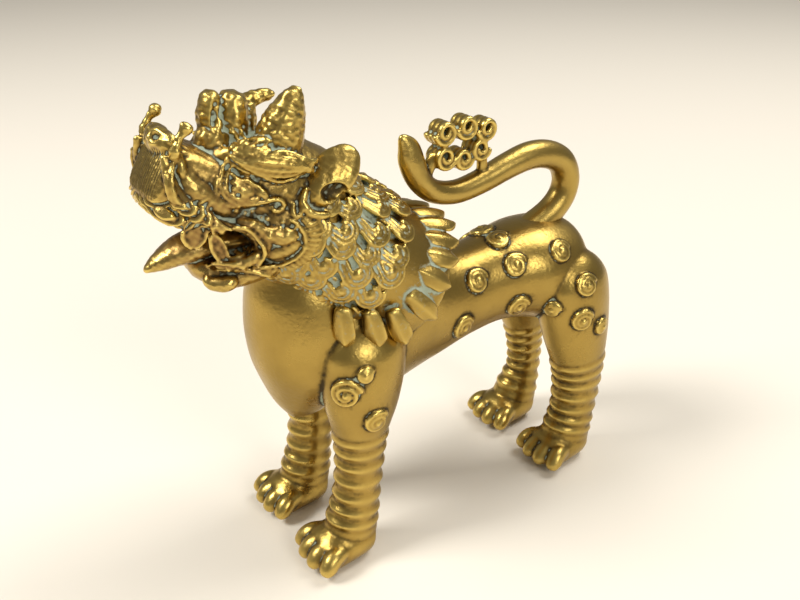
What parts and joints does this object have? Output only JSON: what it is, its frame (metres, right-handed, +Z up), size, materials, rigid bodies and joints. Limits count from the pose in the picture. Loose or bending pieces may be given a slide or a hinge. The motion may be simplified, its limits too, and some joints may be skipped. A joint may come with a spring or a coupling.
{
  "type": "guardian lion statuette",
  "caption": "Cast brass guardian lion, standing, with its head raised, mouth open and tongue out, a curled mane, spiral curls on its body and its tail looped over its back.",
  "frame": {"origin": "on the ground under the middle of the bounding box, between the paws", "axes": "+Z up, the lion faces -Y, its left side is +X"},
  "size_m": [0.0554, 0.1566, 0.15],
  "materials": {
    "brass": "polished and worn bright on the raised parts, brown in the hollows, with pale green deposits in the deepest ones"
  },
  "bodies": {
    "root": {"guardian_lion": "brass"}
  },
  "joints": []
}
